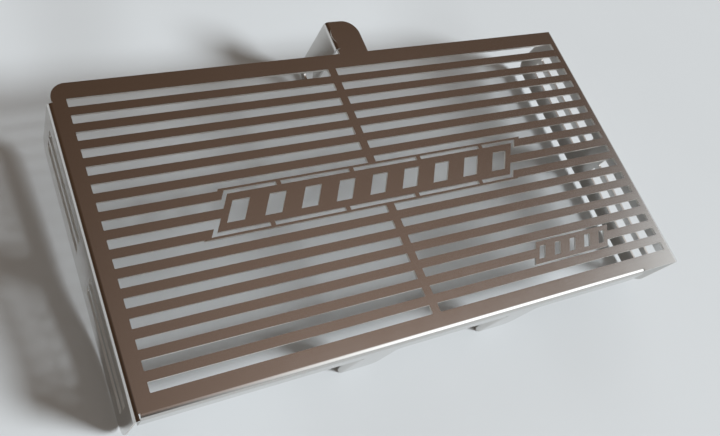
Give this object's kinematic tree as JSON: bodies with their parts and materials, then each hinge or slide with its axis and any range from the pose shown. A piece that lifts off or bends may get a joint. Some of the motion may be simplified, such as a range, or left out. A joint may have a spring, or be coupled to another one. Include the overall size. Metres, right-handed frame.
{
  "type": "motorcycle radiator guard",
  "caption": "Slotted radiator guard folded from one stainless sheet, with slotted side flanges, a bottom lip, lower strap lugs and a top lug with a drilled leg.",
  "frame": {"origin": "middle of the part in plan, level with the free end of the top leg, the lowest point", "axes": "+X along the slots towards the flange that reaches the top edge, +Y up the guard towards the top lug, +Z out of the face, away from the radiator"},
  "size_m": [0.381, 0.2186, 0.0518],
  "materials": {
    "steel": "lightly brushed stainless sheet with bright cut edges"
  },
  "bodies": {
    "root": {"guard": "steel"}
  },
  "joints": []
}
